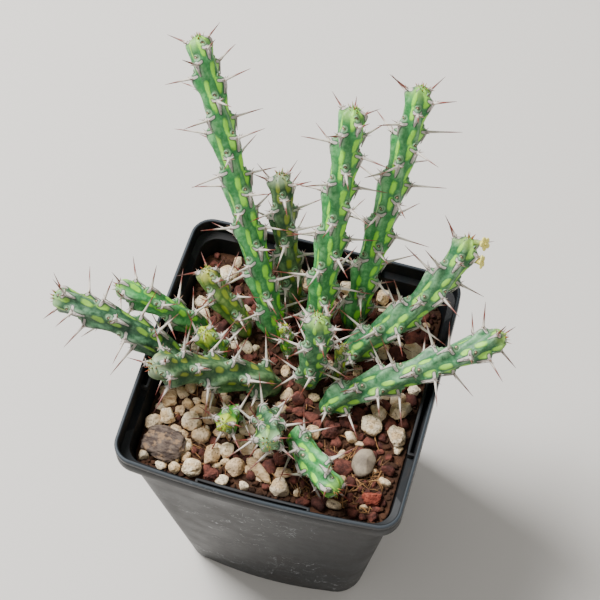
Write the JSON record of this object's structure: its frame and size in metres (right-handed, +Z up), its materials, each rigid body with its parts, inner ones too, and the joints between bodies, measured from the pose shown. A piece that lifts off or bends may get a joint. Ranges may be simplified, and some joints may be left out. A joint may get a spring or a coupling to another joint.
{
  "type": "potted euphorbia",
  "caption": "Clump of five-ribbed, spiny euphorbia stems with small yellow flower heads, in a square plastic nursery pot with gritty soil.",
  "frame": {"origin": "centre of the pot's underside", "axes": "+Z up, the pot's front towards -Y"},
  "size_m": [0.1438, 0.1167, 0.1885],
  "materials": {
    "black_plastic": "moulded polypropylene with fine scuffs",
    "peat_and_grit": "dark moist peat and coir with lava grit",
    "stem_green": "waxy green skin, matt",
    "stem_dark_green": "waxy dark green skin, matt",
    "stem_young_green": "waxy bright young skin, matt",
    "cyathium_yellow": "soft yellow flower heads",
    "pumice": "porous cream pumice",
    "lava": "rough dark red-brown lava",
    "bright_lava": "rough bright red lava",
    "grey_stone": "smooth grey-tan stone",
    "bark": "fibrous dark bark",
    "wood_chips": "fibrous tan chips"
  },
  "bodies": {
    "root": {"pot": "black_plastic", "substrate": "peat_and_grit", "stem_tall_left": "stem_green", "stem_back_dark": "stem_dark_green", "stem_tall_centre": "stem_green", "stem_tall_right": "stem_green", "stem_flowering": "stem_green", "stem_low_right": "stem_green", "stem_front": "stem_green", "head_front": "stem_green", "head_front_left": "stem_young_green", "stem_thick_left": "stem_dark_green", "stem_far_left": "stem_green", "stem_upper_left": "stem_green", "stem_back_left": "stem_green", "head_left": "stem_young_green", "stem_centre": "stem_green", "shoot_green": "stem_young_green", "shoot_olive": "stem_young_green", "bloom_upper": "cyathium_yellow", "bloom_lower": "cyathium_yellow", "pumice_1": "pumice", "pumice_2": "pumice", "pumice_3": "pumice", "pumice_4": "pumice", "pumice_5": "pumice", "pumice_6": "pumice", "pumice_7": "pumice", "pumice_8": "pumice", "pumice_9": "pumice", "pumice_10": "pumice", "pumice_11": "pumice", "grey_stone": "grey_stone", "lava_bright": "bright_lava", "lava_1": "lava", "lava_2": "lava", "lava_3": "lava", "bark_slab": "bark", "bark_chip": "wood_chips", "wood_chip": "wood_chips"}
  },
  "joints": []
}
